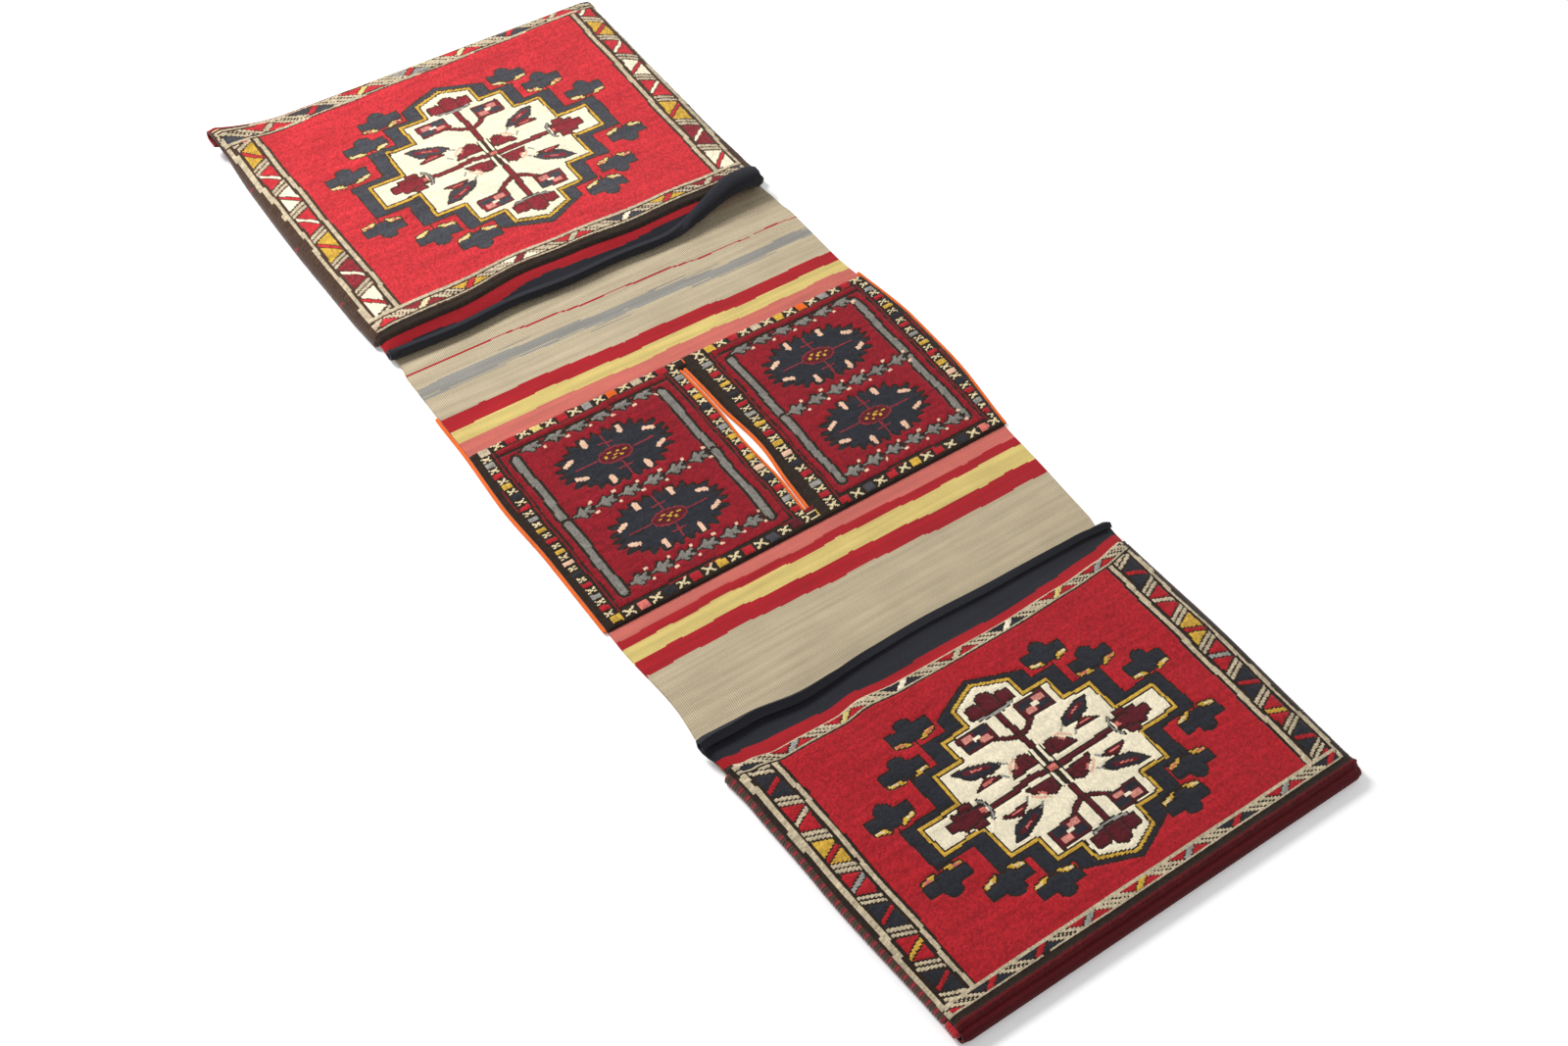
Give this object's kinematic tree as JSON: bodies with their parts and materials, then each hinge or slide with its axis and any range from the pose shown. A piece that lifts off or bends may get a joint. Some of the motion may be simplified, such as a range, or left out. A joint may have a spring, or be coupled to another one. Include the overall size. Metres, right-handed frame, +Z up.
{
  "type": "kilim saddle bag",
  "caption": "Hand-woven wool saddle bag lying flat: a pile-faced pouch at each end, a striped flat-woven bridge and a knotted centre with a slit.",
  "frame": {"origin": "middle of the bag's footprint, on the floor", "axes": "+Y along the cloth towards the pouch with the lifted corner, +X across it, +Z up"},
  "size_m": [0.532, 1.3226, 0.0383],
  "materials": {
    "wool_weave": "matte",
    "brown_wool": "matte",
    "red_wool": "matte",
    "orange_wool": "matte"
  },
  "bodies": {
    "root": {"woven_cloth": "wool_weave", "side_seam_far_left": "brown_wool", "side_seam_far_right": "brown_wool", "side_seam_near_left": "brown_wool", "side_seam_near_right": "brown_wool", "corner_wrap_left": "red_wool", "corner_wrap_right": "red_wool", "edge_binding_left": "orange_wool", "edge_binding_right": "orange_wool", "slit_binding_left": "orange_wool", "slit_binding_right": "orange_wool"}
  },
  "joints": []
}
